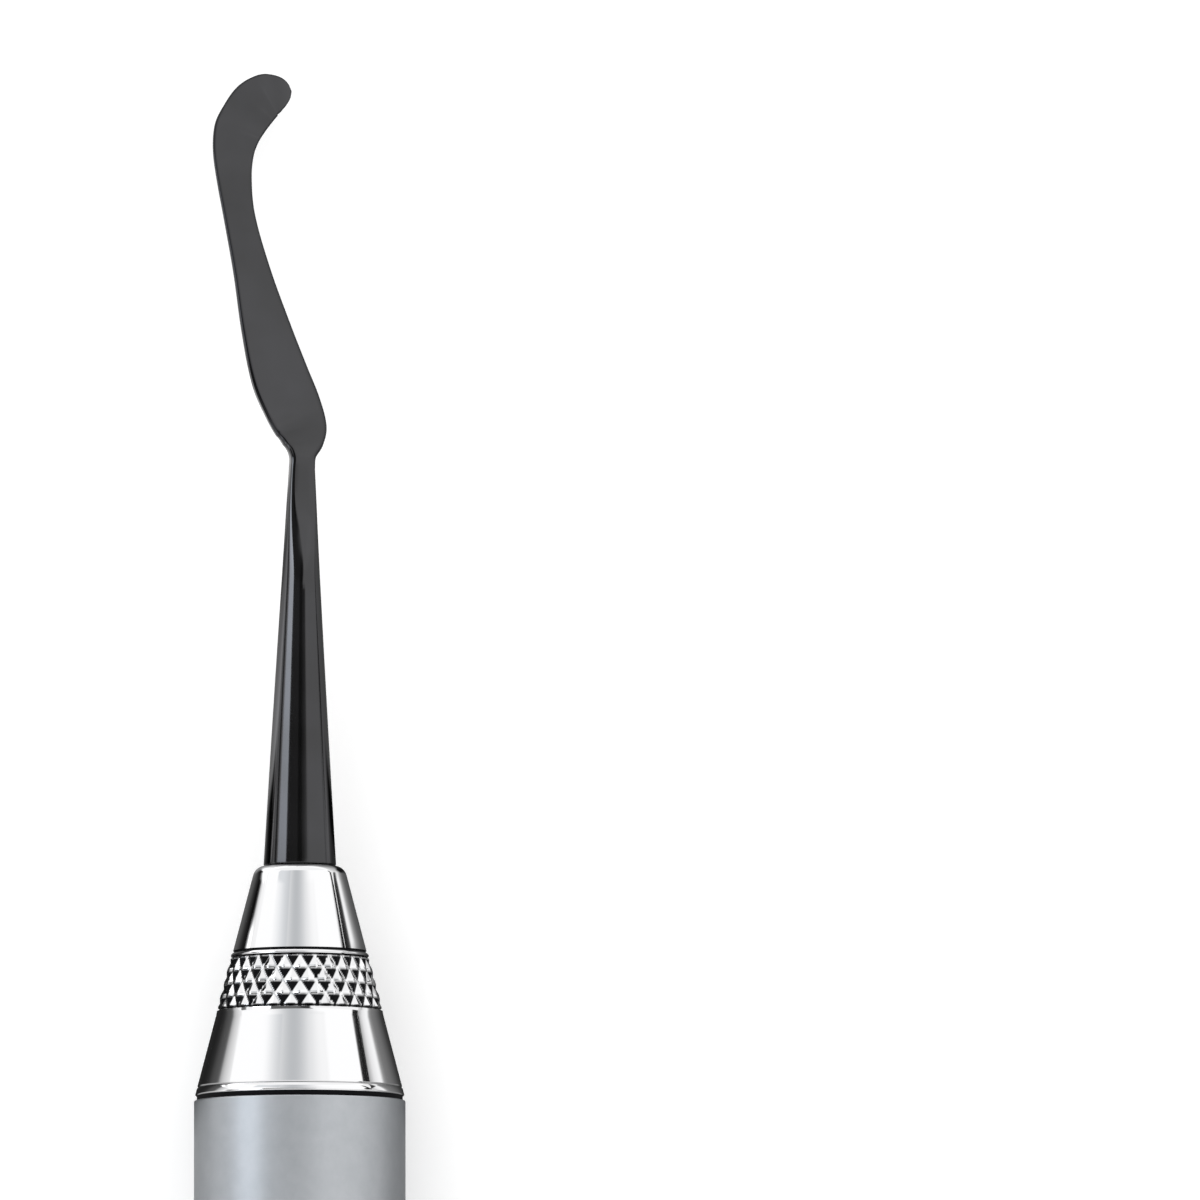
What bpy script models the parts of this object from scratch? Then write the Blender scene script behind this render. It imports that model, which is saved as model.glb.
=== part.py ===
"""Double-ended composite spatula: hollow grip, two knurled cones and two coated working ends.

Metres, +Z up. The instrument lies along X on the lowest facet of its grip, with the paddle end at
+X and the hooked end at -X. The origin is the middle of that facet. Sizes below are millimetres.
"""

import math

import bmesh
import bpy
from mathutils import Vector

MM = 0.001
COLLECTION = "composite_spatula"

# Gap that touching pieces keep, also seen as the dark line between each cone and the grip
FIT_GAP = 0.3

# Hollow grip
GRIP_LENGTH = 72.0
GRIP_DIAMETER = 10.0
GRIP_WALL = 0.8
GRIP_END_CHAMFER = 0.1
GRIP_SIDES = 40

# Turned cone at each end of the grip
CONE_LENGTH = 10.8
CONE_NOSE_LEDGE = 0.38  # how far the nose stands out round the shank
CONE_STEP_DOWN = 0.05  # how far the cone's wide end lies below the grip's surface
CONE_NOSE_ROUND = 0.57
CONE_RIM_CHAMFER = 0.08
NOSE_ROUND_STEPS = 4
RIM_LINE_START = 10.42  # scribed line near the wide end, from the nose face
RIM_LINE_WIDTH = 0.12
RIM_LINE_CUT = 0.05
SPIGOT_LENGTH = 8.0
SPIGOT_CHAMFER = 0.5

# Diamond-knurled band of the cone, with a polished bead on its nose side
KNURL_START = 4.32  # from the nose face
KNURL_LENGTH = 2.48
KNURL_RISE = 0.04  # peaks above the cone
KNURL_DEPTH = 0.12  # valleys below the cone
DIAMONDS_AROUND = 28
DIAMOND_ROWS = 3
BEAD_WIDTH = 0.18
BEAD_RISE = 0.05
BEAD_LINE_WIDTH = 0.12  # scribed line that sets the bead off
BEAD_LINE_CUT = 0.05

# Working ends: tang in the cone's bore, tapered round shank, flat blade
TANG_SHOULDER = 0.6  # step from the shank down to the tang
TANG_LENGTH = 8.0
TANG_CHAMFER = 0.3
SHANK_DIAMETER = 3.44
SHANK_ROOT_ROUND = 0.12
SHANK_LENGTH = 18.9  # nose face to blade root
NECK_DIAMETER = 1.2
FLATTENED_LENGTH = 5.5  # last stretch of the shank, which is pressed flatter
NECK_THICKNESS = 0.8
BLADE_BODY_THICKNESS = 0.44
BLADE_BODY_START = 2.6  # from the blade root
BLADE_TIP_THICKNESS = 0.24
BLADE_EDGE_POWER = 0.5  # of the edges' sine and cosine: 1 is a half round, 0 is square
TIP_SIDES = 20
SHANK_STATIONS = 14
BLADE_STATIONS = 44

# Blade stations, by eye from the outline: distance from the blade root, side, rise, half width
# and roll of the blade's face about its own run in degrees. The last one is the end of the blade.
# The neck's side offset and roll come before them, where the shank runs into the blade.
PADDLE_NECK_SIDE = -0.09
PADDLE_NECK_ROLL = 12.0
PADDLE_STATIONS = (
    (0.6, -0.12, -0.02, 0.63, 12.0),
    (1.2, -0.15, -0.06, 0.97, 12.0),
    (1.9, -0.06, -0.09, 1.24, 12.5),
    (3.0, 0.37, -0.10, 1.39, 13.5),
    (4.4, 0.94, -0.16, 1.41, 14.0),
    (6.8, 1.63, -0.33, 1.19, 13.5),
    (9.6, 2.31, -0.58, 0.89, 13.5),
    (12.2, 2.89, -0.86, 0.76, 13.0),
    (14.05, 3.14, -1.12, 0.85, 12.5),
    (15.36, 3.17, -1.30, 1.00, 11.5),
    (16.33, 2.99, -1.50, 1.14, 9.0),
    (16.93, 2.69, -1.66, 1.17, 6.0),
    (17.70, 2.16, -1.89, 1.19, 2.5),
    (18.12, 1.64, -2.07, 1.11, -1.5),
    (18.27, 1.23, -2.19, 0.98, -5.0),
    (18.35, 0.86, -2.28, 0.77, -6.0),
    (18.40, 0.41, -2.38, 0.55, -6.0),
)
PADDLE_END_ROUND = 0.55

HOOK_NECK_SIDE = -0.20
HOOK_NECK_ROLL = 48.0
HOOK_STATIONS = (
    (0.7, -0.28, 0.00, 0.74, 48.0),
    (1.5, -0.44, -0.01, 0.98, 48.0),
    (2.7, -0.77, -0.02, 1.26, 49.0),
    (4.2, -1.24, -0.04, 1.32, 50.0),
    (6.6, -2.06, -0.08, 1.17, 49.0),
    (9.3, -2.98, -0.14, 0.94, 47.0),
    (12.0, -3.95, -0.20, 0.82, 46.0),
    (13.8, -4.60, -0.25, 0.86, 50.0),
    (15.2, -5.08, -0.30, 0.96, 57.0),
    (16.4, -5.32, -0.34, 1.07, 65.0),
    (17.6, -5.16, -0.38, 1.14, 74.0),
    (18.5, -4.62, -0.41, 1.12, 83.0),
    (19.5, -3.40, -0.45, 1.00, 88.0),
)
HOOK_END_ROUND = 1.6

# Places worked out from the sizes
GRIP_RADIUS = GRIP_DIAMETER / 2
AXIS_HEIGHT = GRIP_RADIUS * math.cos(math.pi / GRIP_SIDES)
NOSE_DISTANCE = GRIP_LENGTH / 2 + FIT_GAP + CONE_LENGTH
CONE_NOSE_RADIUS = SHANK_DIAMETER / 2 + CONE_NOSE_LEDGE
CONE_WIDE_RADIUS = GRIP_RADIUS - CONE_STEP_DOWN
SPIGOT_RADIUS = GRIP_RADIUS - GRIP_WALL - FIT_GAP
TANG_RADIUS = SHANK_DIAMETER / 2 - TANG_SHOULDER
BORE_RADIUS = TANG_RADIUS + FIT_GAP
BORE_DEPTH = TANG_LENGTH + FIT_GAP
CONE_SIDES = 2 * DIAMONDS_AROUND

PADDLE_END = 1
HOOK_END = -1


def srgb(hex_colour):
    """Linear RGBA of an sRGB hex colour."""
    channels = [int(hex_colour[i:i + 2], 16) / 255 for i in (1, 3, 5)]
    linear = [c / 12.92 if c <= 0.04045 else ((c + 0.055) / 1.055) ** 2.4 for c in channels]
    return (*linear, 1.0)


def metal(name, hex_colour, roughness):
    material = bpy.data.materials.new(name)
    material.use_nodes = True
    shader = material.node_tree.nodes["Principled BSDF"]
    shader.inputs["Base Color"].default_value = srgb(hex_colour)
    shader.inputs["Metallic"].default_value = 1.0
    shader.inputs["Roughness"].default_value = roughness
    material.diffuse_color = srgb(hex_colour)
    return material


def smoothstep(t):
    t = min(max(t, 0.0), 1.0)
    return t * t * (3 - 2 * t)


def through(rows, steps):
    """Smooth rows of numbers through the given rows, spaced by the distance between them."""
    knots = [0.0]
    for before, after in zip(rows, rows[1:]):
        knots.append(knots[-1] + math.dist(before[:3], after[:3]))

    def slope(i, column):
        low = max(i - 1, 0)
        high = min(i + 1, len(rows) - 1)
        return (rows[high][column] - rows[low][column]) / (knots[high] - knots[low])

    smooth = []
    for step in range(steps + 1):
        place = knots[-1] * step / steps
        i = max(k for k in range(len(knots) - 1) if knots[k] <= place)
        span = knots[i + 1] - knots[i]
        t = (place - knots[i]) / span
        row = []
        for column in range(len(rows[0])):
            start, end = rows[i][column], rows[i + 1][column]
            lead, trail = slope(i, column) * span, slope(i + 1, column) * span
            row.append(
                (2 * t**3 - 3 * t**2 + 1) * start + (t**3 - 2 * t**2 + t) * lead
                + (3 * t**2 - 2 * t**3) * end + (t**3 - t**2) * trail
            )
        smooth.append(tuple(row))
    return smooth


def skin(name, rings, end, material, groove=None):
    """One closed body through rings of points (along from the nose face, side, rise).

    groove(ring, corner) says which way a knurled quad is split: 0 or 1, or None for a plain quad.
    """
    bm = bmesh.new()
    rows = []
    for ring in rings:
        row = []
        for along, side, rise in ring:
            place = Vector((end * (NOSE_DISTANCE + along), side, AXIS_HEIGHT + rise))
            row.append(bm.verts.new(place * MM))
        rows.append(row)
    for j, (near, far) in enumerate(zip(rows, rows[1:])):
        for i in range(len(near)):
            k = (i + 1) % len(near)
            corners = (near[i], near[k], far[k], far[i])
            split = groove(j, i) if groove else None
            if split is None:
                bm.faces.new(corners)
            else:
                a, b, c, d = corners[split:] + corners[:split]
                bm.faces.new((a, b, c))
                bm.faces.new((a, c, d))
    bm.faces.new(rows[0])
    bm.faces.new(rows[-1])
    bmesh.ops.recalc_face_normals(bm, faces=bm.faces)
    return finished(name, bm, material)


def finished(name, bm, material):
    """Object of a body's mesh, smooth where it is round, in the spatula's collection."""
    mesh = bpy.data.meshes.new(name)
    bm.to_mesh(mesh)
    bm.free()
    mesh.shade_smooth()
    mesh.set_sharp_from_angle(angle=math.radians(28))
    mesh.materials.append(material)
    piece = bpy.data.objects.new(name, mesh)
    bpy.data.collections[COLLECTION].objects.link(piece)
    return piece


def circle(along, radius, sides):
    """Ring about the instrument's axis."""
    ring = []
    for i in range(sides):
        angle = 2 * math.pi * i / sides
        ring.append((along, radius * math.sin(angle), radius * math.cos(angle)))
    return ring


def grip_tube(material):
    """Hollow tube, turned from the section of its wall, open at both ends."""
    inner = GRIP_RADIUS - GRIP_WALL
    half = GRIP_LENGTH / 2
    section = (
        (inner, half),
        (GRIP_RADIUS - GRIP_END_CHAMFER, half),
        (GRIP_RADIUS, half - GRIP_END_CHAMFER),
        (GRIP_RADIUS, -half + GRIP_END_CHAMFER),
        (GRIP_RADIUS - GRIP_END_CHAMFER, -half),
        (inner, -half),
    )
    half_facet = math.pi / GRIP_SIDES  # turns a facet, not an edge, to the bottom
    outward = Vector((math.cos(half_facet), math.sin(half_facet), 0.0))
    bm = bmesh.new()
    verts = []
    for radius, along in section:
        verts.append(bm.verts.new((outward * radius + Vector((0.0, 0.0, along))) * MM))
    for i, vert in enumerate(verts):
        bm.edges.new((vert, verts[(i + 1) % len(verts)]))
    tube = finished("grip_tube", bm, material)
    screw = tube.modifiers.new("turn", "SCREW")
    screw.axis = "Z"
    screw.steps = GRIP_SIDES
    screw.render_steps = GRIP_SIDES
    screw.use_merge_vertices = True
    screw.merge_threshold = 0.00001
    screw.use_smooth_shade = True
    tube.location = (0.0, 0.0, AXIS_HEIGHT * MM)
    tube.rotation_euler = (0.0, math.radians(90), 0.0)
    return tube


def cone_radius(depth):
    """Radius of the plain cone at a depth behind the nose face."""
    return CONE_NOSE_RADIUS + (CONE_WIDE_RADIUS - CONE_NOSE_RADIUS) * depth / CONE_LENGTH


def nose_round():
    """Depths and radii of the rounded corner between the nose face and the cone."""
    slope = math.atan2(CONE_WIDE_RADIUS - CONE_NOSE_RADIUS, CONE_LENGTH)
    centre_radius = cone_radius(CONE_NOSE_ROUND) - CONE_NOSE_ROUND / math.cos(slope)
    points = []
    for step in range(NOSE_ROUND_STEPS + 1):
        angle = math.radians(90) * step / NOSE_ROUND_STEPS
        angle = min(angle, math.radians(90) - slope)
        depth = CONE_NOSE_ROUND * (1 - math.cos(angle))
        points.append((depth, centre_radius + CONE_NOSE_ROUND * math.sin(angle)))
    return points


def ferrule(name, end, material):
    """Turned cone: bore, bead with its line, knurled band, rim line and spigot for the grip."""
    profile = [(BORE_DEPTH, BORE_RADIUS), (0.0, BORE_RADIUS)]
    profile += nose_round()
    bead_start = KNURL_START - BEAD_WIDTH
    bead_middle = KNURL_START - BEAD_WIDTH / 2
    bead_line_start = bead_start - BEAD_LINE_WIDTH
    bead_line_middle = bead_start - BEAD_LINE_WIDTH / 2
    profile += [
        (bead_line_start, cone_radius(bead_line_start)),
        (bead_line_middle, cone_radius(bead_line_middle) - BEAD_LINE_CUT),
        (bead_start, cone_radius(bead_start)),
        (bead_middle, cone_radius(bead_middle) + BEAD_RISE),
        (KNURL_START, cone_radius(KNURL_START) - KNURL_DEPTH),
    ]
    first_knurl_ring = len(profile) - 1
    rings = [circle(-depth, radius, CONE_SIDES) for depth, radius in profile]
    pitch = KNURL_LENGTH / (DIAMOND_ROWS + 1)
    for row in range(DIAMOND_ROWS):
        depth = KNURL_START + pitch * (row + 1)
        peak = circle(-depth, cone_radius(depth) + KNURL_RISE, CONE_SIDES)
        valley = circle(-depth, cone_radius(depth) - KNURL_DEPTH, CONE_SIDES)
        rings.append([peak[i] if (i + row) % 2 else valley[i] for i in range(CONE_SIDES)])
    knurl_end = KNURL_START + KNURL_LENGTH
    last_knurl_ring = len(rings)
    rim_line_middle = RIM_LINE_START + RIM_LINE_WIDTH / 2
    rim_line_end = RIM_LINE_START + RIM_LINE_WIDTH
    profile = [
        (knurl_end, cone_radius(knurl_end) - KNURL_DEPTH),
        (knurl_end + KNURL_DEPTH, cone_radius(knurl_end + KNURL_DEPTH)),
        (RIM_LINE_START, cone_radius(RIM_LINE_START)),
        (rim_line_middle, cone_radius(rim_line_middle) - RIM_LINE_CUT),
        (rim_line_end, cone_radius(rim_line_end)),
        (CONE_LENGTH - CONE_RIM_CHAMFER, cone_radius(CONE_LENGTH - CONE_RIM_CHAMFER)),
        (CONE_LENGTH, CONE_WIDE_RADIUS - CONE_RIM_CHAMFER),
        (CONE_LENGTH, SPIGOT_RADIUS),
        (CONE_LENGTH + SPIGOT_LENGTH - SPIGOT_CHAMFER, SPIGOT_RADIUS),
        (CONE_LENGTH + SPIGOT_LENGTH, SPIGOT_RADIUS - SPIGOT_CHAMFER),
    ]
    rings += [circle(-depth, radius, CONE_SIDES) for depth, radius in profile]

    def groove(ring, corner):
        """Splits a knurled quad from valley to valley, so that each peak is a pyramid."""
        if not first_knurl_ring <= ring < last_knurl_ring:
            return None
        return (ring - first_knurl_ring + corner + 1) % 2

    return skin(name, rings, end, material, groove)


def section(station, ahead, half_width, half_thickness, roll, edge_power=1.0):
    """Ring across the run of a working end: two rounded edges joined by flats, turned by roll."""
    centre = Vector(station)
    run = Vector(ahead).normalized()
    level = Vector((0.0, 0.0, 1.0)).cross(run).normalized()
    upright = run.cross(level)
    width = level * math.cos(roll) + upright * math.sin(roll)
    face = upright * math.cos(roll) - level * math.sin(roll)
    flat = max(half_width - half_thickness, 0.0)
    ring = []
    for i in range(TIP_SIDES):
        angle = 2 * math.pi * (i + 0.5) / TIP_SIDES
        across = half_thickness * abs(math.cos(angle)) ** edge_power + flat
        above = half_thickness * abs(math.sin(angle)) ** edge_power
        offset = width * math.copysign(across, math.cos(angle))
        offset += face * math.copysign(above, math.sin(angle))
        ring.append(tuple(centre + offset))
    return ring


def shank_radius(along):
    return (SHANK_DIAMETER + (NECK_DIAMETER - SHANK_DIAMETER) * along / SHANK_LENGTH) / 2


def flattening(along):
    """0 where the shank is round, rising to 1 where it is pressed flat at the blade root."""
    return smoothstep((along - SHANK_LENGTH + FLATTENED_LENGTH) / FLATTENED_LENGTH)


def half_thickness(along):
    """Half the thickness at a distance from the nose face: round, pressed flat, then thinning."""
    if along <= SHANK_LENGTH:
        t = flattening(along)
        return shank_radius(along) * (1 - t) + NECK_THICKNESS / 2 * t
    beyond = along - SHANK_LENGTH
    if beyond <= BLADE_BODY_START:
        t = smoothstep(beyond / BLADE_BODY_START)
        return (NECK_THICKNESS * (1 - t) + BLADE_BODY_THICKNESS * t) / 2
    return BLADE_BODY_THICKNESS / 2


def working_end(name, end, neck_side, neck_roll, stations, end_round, material):
    """Tang, tapered shank and blade, lofted as one piece along the spine of its stations."""
    neck = (0.0, neck_side, 0.0, NECK_DIAMETER / 2, neck_roll)
    blade = [(SHANK_LENGTH + along, *rest) for along, *rest in (neck, *stations)]
    shank = []
    for step in range(SHANK_STATIONS):
        t = step / SHANK_STATIONS
        along = FIT_GAP + SHANK_ROOT_ROUND + (SHANK_LENGTH - FIT_GAP - SHANK_ROOT_ROUND) * t
        shank.append((along, neck_side * t**2, 0.0, shank_radius(along), neck_roll))
    spine = shank + through(blade, BLADE_STATIONS)

    length = math.dist(blade[-1][:3], blade[0][:3])
    rings = []
    roll = math.radians(neck_roll)
    straight = (1.0, 0.0, 0.0)
    tang = (
        (-TANG_LENGTH, TANG_RADIUS - TANG_CHAMFER),
        (-TANG_LENGTH + TANG_CHAMFER, TANG_RADIUS),
        (FIT_GAP, TANG_RADIUS),
        (FIT_GAP, SHANK_DIAMETER / 2 - SHANK_ROOT_ROUND),
    )
    for along, radius in tang:
        rings.append(section((along, 0.0, 0.0), straight, radius, radius, roll))
    left = 0.0
    distances = [0.0]
    for before, after in zip(spine, spine[1:]):
        left += math.dist(before[:3], after[:3])
        distances.append(left)
    for i, (along, side, rise, half_width, turn) in enumerate(spine):
        before, after = spine[max(i - 1, 0)], spine[min(i + 1, len(spine) - 1)]
        ahead = [after[axis] - before[axis] for axis in range(3)]
        thick = half_thickness(along)
        beyond = max(along - SHANK_LENGTH - BLADE_BODY_START, 0.0)
        thinning = beyond / (length - BLADE_BODY_START)
        thick += (BLADE_TIP_THICKNESS - BLADE_BODY_THICKNESS) / 2 * min(thinning, 1.0)
        to_end = left - distances[i]
        if to_end < end_round:
            fullness = math.sqrt(max(1 - (1 - to_end / end_round) ** 2, 0.02))
            half_width *= fullness
            thick *= math.sqrt(fullness)
        edge_power = 1 + (BLADE_EDGE_POWER - 1) * flattening(along)
        rings.append(section(
            (along, side, rise), ahead, half_width, thick, math.radians(turn), edge_power
        ))
    return skin(name, rings, end, material)


def build():
    for piece in list(bpy.data.objects):
        bpy.data.objects.remove(piece, do_unlink=True)
    collection = bpy.data.collections.new(COLLECTION)
    bpy.context.scene.collection.children.link(collection)

    satin_steel = metal("satin_steel", "#B4B7BA", 0.4)
    mirror_steel = metal("mirror_steel", "#E3E4E6", 0.08)
    black_coated_steel = metal("black_coated_steel", "#4B4B4F", 0.2)

    grip_tube(satin_steel)
    ferrule("paddle_ferrule", PADDLE_END, mirror_steel)
    ferrule("hook_ferrule", HOOK_END, mirror_steel)
    working_end(
        "paddle_tip", PADDLE_END, PADDLE_NECK_SIDE, PADDLE_NECK_ROLL,
        PADDLE_STATIONS, PADDLE_END_ROUND, black_coated_steel,
    )
    working_end(
        "hook_tip", HOOK_END, HOOK_NECK_SIDE, HOOK_NECK_ROLL,
        HOOK_STATIONS, HOOK_END_ROUND, black_coated_steel,
    )


build()
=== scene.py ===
"""Looks of the double-ended composite spatula: satin grip, polished knurled cones, coated blades."""

import math

import bpy
import numpy as np
from mathutils import Matrix, Vector


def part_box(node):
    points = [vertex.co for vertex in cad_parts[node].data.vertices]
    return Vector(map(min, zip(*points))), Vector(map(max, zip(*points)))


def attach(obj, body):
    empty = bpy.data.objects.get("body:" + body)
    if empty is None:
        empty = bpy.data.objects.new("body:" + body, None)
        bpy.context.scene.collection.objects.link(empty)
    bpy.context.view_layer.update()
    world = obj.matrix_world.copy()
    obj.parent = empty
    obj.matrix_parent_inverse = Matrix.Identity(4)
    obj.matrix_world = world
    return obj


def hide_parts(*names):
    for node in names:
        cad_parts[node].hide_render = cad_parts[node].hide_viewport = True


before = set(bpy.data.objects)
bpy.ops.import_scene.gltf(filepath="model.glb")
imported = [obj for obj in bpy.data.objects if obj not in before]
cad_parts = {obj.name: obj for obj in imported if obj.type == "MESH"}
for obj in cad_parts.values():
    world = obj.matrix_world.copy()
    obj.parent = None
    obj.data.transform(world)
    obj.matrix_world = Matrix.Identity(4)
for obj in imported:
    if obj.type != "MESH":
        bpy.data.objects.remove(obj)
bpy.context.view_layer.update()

MM = 0.001

# Places read from the frame, in millimetres
GRIP_LOW, GRIP_HIGH = (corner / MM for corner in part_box("grip_tube"))
_, CONE_HIGH = (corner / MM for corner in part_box("paddle_ferrule"))
AXIS_HEIGHT = (GRIP_LOW.z + GRIP_HIGH.z) / 2
GRIP_HALF_LENGTH = GRIP_HIGH.x
NOSE_DISTANCE = CONE_HIGH.x
CONE_WIDE_RADIUS = CONE_HIGH.y

# Fits
GROOVE_WIDTH = 0.3  # the line between cone and grip, dark from the painted shade on the seat behind it
SEAT_GAP = 0.04  # hairline between the cone's nose and the coated shank

# Hollow grip
GRIP_RADIUS = 4.99
GRIP_WALL = 0.8
GRIP_END_ROUND = 0.07
GRIP_SIDES = 256

# Turned cone
CONE_LENGTH = NOSE_DISTANCE - GRIP_HALF_LENGTH - GROOVE_WIDTH
CONE_NOSE_RADIUS = 2.1
CONE_NOSE_ROUND = 0.57
CONE_BORE_RADIUS = 1.42
CONE_BORE_DEPTH = 8.3
RIM_LINE_DEPTH = 10.42
RIM_LINE_WIDTH = 0.12
RIM_LINE_CUT = 0.05
RIM_LINE_SHADE = 0.35  # share of painted shade in the floor of this line
RIM_ROUND = 0.06
RIM_REACH = 0.08  # of the polished rim towards the grip, beyond the solid
SEAT_STEP = 0.07  # from the rim down to the shoulder, painted dark as shade, that closes the groove to the grip
SEAT_LENGTH = 0.27
SPIGOT_RADIUS = 3.9
SPIGOT_LENGTH = 8.0
SPIGOT_CHAMFER = 0.5
NOSE_ROUND_STEPS = 10
NOSE_SIDE_START = 1.0  # depth of the first of the even rings between nose and bead
NOSE_SIDE_STEPS = 11
WIDE_SIDE_STEPS = 13
WIDE_SIDE_SPARE = 0.2  # length near both ends of the wide side that its even rings leave free
BEHIND_RIM_LINE = 0.2  # from the rim line to a point on the cone that gives the rim its slope

# Diamond knurl of the cone
KNURL_START = 4.32
KNURL_LENGTH = 2.48
KNURL_RISE = 0.04
KNURL_DEPTH = 0.12
KNURL_FLAT_TOP = 0.86  # share of the full pyramid's height at which its top is cut off
DIAMONDS_AROUND = 28
DIAMOND_ROWS = 3
BEAD_WIDTH = 0.18
BEAD_RISE = 0.05
BEAD_STEPS = 10
BEAD_LINE_WIDTH = 0.12
BEAD_LINE_CUT = 0.05
GROOVE_SLOPE = 0.01  # along the cone, from the line's shoulder to its floor
STEPS_PER_DIAMOND = 14
# Painted shade on the knurl: each diamond's faces that look away from the nose are painted dark
KNURL_SHADE_SHARPNESS = 6.0
KNURL_SHADE_LAG = 0.6  # holds the knurl's painted shade back from the line across a diamond's top
KNURL_SHADE_TOP = 1.02  # height, just over the flat tops, towards which the painted shade fades
LIP_START = 0.6  # of the knurl's depth, from the band's end to its raised lip
LIP_WIDTH = 0.08
LIP_RISE = 0.02
CONE_SIDES = DIAMONDS_AROUND * STEPS_PER_DIAMOND

# Working ends
TANG_RADIUS = 1.12
TANG_LENGTH = 8.0
SHANK_DIAMETER = 3.44
SHANK_ROOT_ROUND = 0.05
SHANK_LENGTH = 18.9
NECK_DIAMETER = 1.2
FLATTENED_LENGTH = 5.5
NECK_THICKNESS = 0.8
BLADE_BODY_THICKNESS = 0.44
BLADE_BODY_START = 2.6
BLADE_TIP_THICKNESS = 0.24
BLADE_EDGE_POWER = 0.5  # of the edges' sine and cosine: 1 is a half round, 0 is square
EDGE_STEPS = 22  # points on each rounded edge of a section
FLAT_INSET = 0.02  # from a flat's rims to the points that keep it flat
EDGE_SHARPNESS = 4.0  # how fast the painted shade darkens the coating from the rim of a flat onto its edge
LEAST_FULLNESS = 0.004  # squared share of the width that is left at the very end of a blade
SHANK_SIDE_POINT = 5.0  # along the shank, gives the rounded root its slope
SHANK_STATIONS = 90
BLADE_STATIONS = 220

# Blade stations in millimetres: distance from the blade root, side, rise, half width and roll of
# the face in degrees. They repeat the solids' own stations.
PADDLE_NECK_SIDE = -0.09
PADDLE_NECK_ROLL = 12.0
PADDLE_STATIONS = (
    (0.6, -0.12, -0.02, 0.63, 12.0),
    (1.2, -0.15, -0.06, 0.97, 12.0),
    (1.9, -0.06, -0.09, 1.24, 12.5),
    (3.0, 0.37, -0.10, 1.39, 13.5),
    (4.4, 0.94, -0.16, 1.41, 14.0),
    (6.8, 1.63, -0.33, 1.19, 13.5),
    (9.6, 2.31, -0.58, 0.89, 13.5),
    (12.2, 2.89, -0.86, 0.76, 13.0),
    (14.05, 3.14, -1.12, 0.85, 12.5),
    (15.36, 3.17, -1.30, 1.00, 11.5),
    (16.33, 2.99, -1.50, 1.14, 9.0),
    (16.93, 2.69, -1.66, 1.17, 6.0),
    (17.70, 2.16, -1.89, 1.19, 2.5),
    (18.12, 1.64, -2.07, 1.11, -1.5),
    (18.27, 1.23, -2.19, 0.98, -5.0),
    (18.35, 0.86, -2.28, 0.77, -6.0),
    (18.40, 0.41, -2.38, 0.55, -6.0),
)
PADDLE_END_ROUND = 0.55

HOOK_NECK_SIDE = -0.20
HOOK_NECK_ROLL = 48.0
HOOK_STATIONS = (
    (0.7, -0.28, 0.00, 0.74, 48.0),
    (1.5, -0.44, -0.01, 0.98, 48.0),
    (2.7, -0.77, -0.02, 1.26, 49.0),
    (4.2, -1.24, -0.04, 1.32, 50.0),
    (6.6, -2.06, -0.08, 1.17, 49.0),
    (9.3, -2.98, -0.14, 0.94, 47.0),
    (12.0, -3.95, -0.20, 0.82, 46.0),
    (13.8, -4.60, -0.25, 0.86, 50.0),
    (15.2, -5.08, -0.30, 0.96, 57.0),
    (16.4, -5.32, -0.34, 1.07, 65.0),
    (17.6, -5.16, -0.38, 1.14, 74.0),
    (18.5, -4.62, -0.41, 1.12, 83.0),
    (19.5, -3.40, -0.45, 1.00, 88.0),
)
HOOK_END_ROUND = 1.6

PADDLE_END = 1
HOOK_END = -1

# The photographed paddle end: 1200 pixels across the frame, 210.5 of them across the grip
FRAME_PIXELS = 1200
GRIP_PIXELS = 210.5
NOSE_PIXEL = (300.0, 867.0)
CAMERA_HEIGHT = 600.0  # above the middle of the instrument, from the curve of the photo's rings
CAMERA_ROLL = -0.12  # degrees, sets the instrument upright in the frame
SENSOR_WIDTH = 36.0
CAMERA_REACH = 100.0  # metres

# Floor and lamp
FLOOR_SIZE = 12.0  # metres
PAPER_LIFT = 0.25  # share of white that the paper adds for the eye
KEY_STRENGTH = 0.35
KEY_SOFTNESS = 50.0  # degrees
KEY_TURN = (-28.0, -20.0)  # degrees about X and Y, from straight down

# Sizes of the finishes' clouds and grain, in millimetres
CLOUD_SIZE = 0.9
GRAIN_SIZE = 0.12
GRAIN_HEIGHT = 0.004
BUFF_SIZE = 2.2
FILM_SIZE = 3.0

SHARP_ANGLE = 34.0  # degrees between faces from which an edge stays sharp


def linear(hex_colour):
    """Linear RGBA of an sRGB hex colour."""
    channels = [int(hex_colour[i:i + 2], 16) / 255 for i in (1, 3, 5)]
    return (*[c / 12.92 if c <= 0.04045 else ((c + 0.055) / 1.055) ** 2.4 for c in channels], 1.0)


def smoothstep(t):
    """Smooth rise from 0 to 1."""
    t = min(max(t, 0.0), 1.0)
    return t * t * (3 - 2 * t)


# Meshes


def skin(name, rings, closed=False, **painted):
    """Smooth piece through rings of points in millimetres, capped at both ends unless closed.

    Each painted attribute holds one number from 0 to 1 for each point of each ring.
    """
    rings = np.asarray(rings, float)
    count, sides = rings.shape[:2]
    faces = []
    for j in range(count if closed else count - 1):
        near, far = j * sides, (j + 1) % count * sides
        for i in range(sides):
            k = (i + 1) % sides
            faces.append((near + i, near + k, far + k, far + i))
    if not closed:
        faces.append(tuple(range(sides))[::-1])
        faces.append(tuple(range((count - 1) * sides, count * sides)))
    mesh = bpy.data.meshes.new(name)
    mesh.from_pydata((rings.reshape(-1, 3) * MM).tolist(), [], faces)
    mesh.update()
    if signed_volume(mesh) < 0:
        mesh.flip_normals()
    for attribute, values in painted.items():
        layer = mesh.attributes.new(attribute, "FLOAT", "POINT")
        layer.data.foreach_set("value", np.ravel(values))
    mesh.shade_smooth()
    mesh.set_sharp_from_angle(angle=math.radians(SHARP_ANGLE))
    piece = bpy.data.objects.new(name, mesh)
    bpy.context.scene.collection.objects.link(piece)
    return piece


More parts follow.
